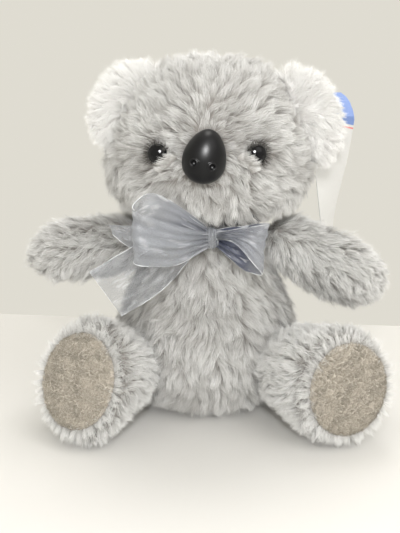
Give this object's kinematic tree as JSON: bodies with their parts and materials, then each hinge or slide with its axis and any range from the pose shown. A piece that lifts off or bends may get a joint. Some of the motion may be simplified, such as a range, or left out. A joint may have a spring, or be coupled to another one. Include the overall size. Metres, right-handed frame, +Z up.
{
  "type": "sitting plush koala",
  "caption": "Sitting stuffed koala of long grey plush with white ears, plastic eyes and nose, taupe foot pads, a sheer ribbon tied in a bow and a card hang tag.",
  "frame": {"origin": "middle of the flat seat, on the surface that the toy sits on", "axes": "+Z up, the toy faces -Y, its own left side is +X"},
  "size_m": [0.2284, 0.1329, 0.2249],
  "materials": {
    "grey_plush": "long grey pile with lighter tips",
    "white_plush": "long white pile",
    "velour": "short taupe pile",
    "filling": "loose polyester fibre",
    "glossy_black": "polished",
    "satin_black": "satin",
    "washer": "moulded",
    "organza": "sheer with denser edges",
    "card": "coated card",
    "clear_plastic": "clear"
  },
  "bodies": {
    "body": {"body_skin": "grey_plush", "body_filling": "filling", "neck_ribbon": "organza", "bow_knot": "organza", "bow_loop_left": "organza", "bow_loop_right": "organza", "bow_tail_left": "organza", "bow_tail_right": "organza"},
    "head": {"head_skin": "grey_plush", "head_filling": "filling", "eye_left": "glossy_black", "eye_right": "glossy_black", "nose": "satin_black", "eye_left_washer": "washer", "eye_right_washer": "washer", "nose_washer": "washer"},
    "left_ear": {"ear_left_front": "white_plush", "ear_left_back": "white_plush", "tag_fastener": "clear_plastic"},
    "right_ear": {"ear_right_front": "white_plush", "ear_right_back": "white_plush"},
    "tag": {"hang_tag": "card"},
    "left_arm": {"arm_left_skin": "grey_plush", "arm_left_filling": "filling"},
    "right_arm": {"arm_right_skin": "grey_plush", "arm_right_filling": "filling"},
    "left_leg": {"leg_left_skin": "grey_plush", "leg_left_filling": "filling", "foot_pad_left": "velour"},
    "right_leg": {"leg_right_skin": "grey_plush", "leg_right_filling": "filling", "foot_pad_right": "velour"}
  },
  "joints": [
    {"name": "head_turn", "type": "hinge", "parent": "body", "child": "head", "pos_m": [0, 0, 0.133], "axis": [0, 0, 1], "range_deg": [-6, 15], "stiffness_Nm_per_rad": 0.5},
    {"name": "left_ear_flex", "type": "hinge", "parent": "head", "child": "left_ear", "pos_m": [0.05565, -0.012, 0.18865], "axis": [-0.4067, 0, 0.9135], "range_deg": [-10, 4], "stiffness_Nm_per_rad": 0.1},
    {"name": "right_ear_flex", "type": "hinge", "parent": "head", "child": "right_ear", "pos_m": [-0.04434, -0.012, 0.19534], "axis": [-0.5878, 0, -0.809], "range_deg": [-10, 10], "stiffness_Nm_per_rad": 0.1},
    {"name": "tag_swing", "type": "hinge", "parent": "left_ear", "child": "tag", "pos_m": [0.07861, -0.0035, 0.1959], "axis": [0, -1, 0], "range_deg": [0, 20]},
    {"name": "left_arm_raise", "type": "hinge", "parent": "body", "child": "left_arm", "pos_m": [0.05304, -0.005, 0.11], "axis": [0, -1, 0], "range_deg": [-8, 30], "stiffness_Nm_per_rad": 0.25},
    {"name": "right_arm_raise", "type": "hinge", "parent": "body", "child": "right_arm", "pos_m": [-0.05304, -0.005, 0.11], "axis": [0, 1, 0], "range_deg": [-15, 30], "stiffness_Nm_per_rad": 0.25},
    {"name": "left_leg_splay", "type": "hinge", "parent": "body", "child": "left_leg", "pos_m": [0.05989, -0.03897, 0.0355], "axis": [0, 0, 1], "range_deg": [-6, 10], "stiffness_Nm_per_rad": 0.5},
    {"name": "right_leg_splay", "type": "hinge", "parent": "body", "child": "right_leg", "pos_m": [-0.05989, -0.03897, 0.0355], "axis": [0, 0, -1], "range_deg": [-6, 10], "stiffness_Nm_per_rad": 0.5}
  ]
}
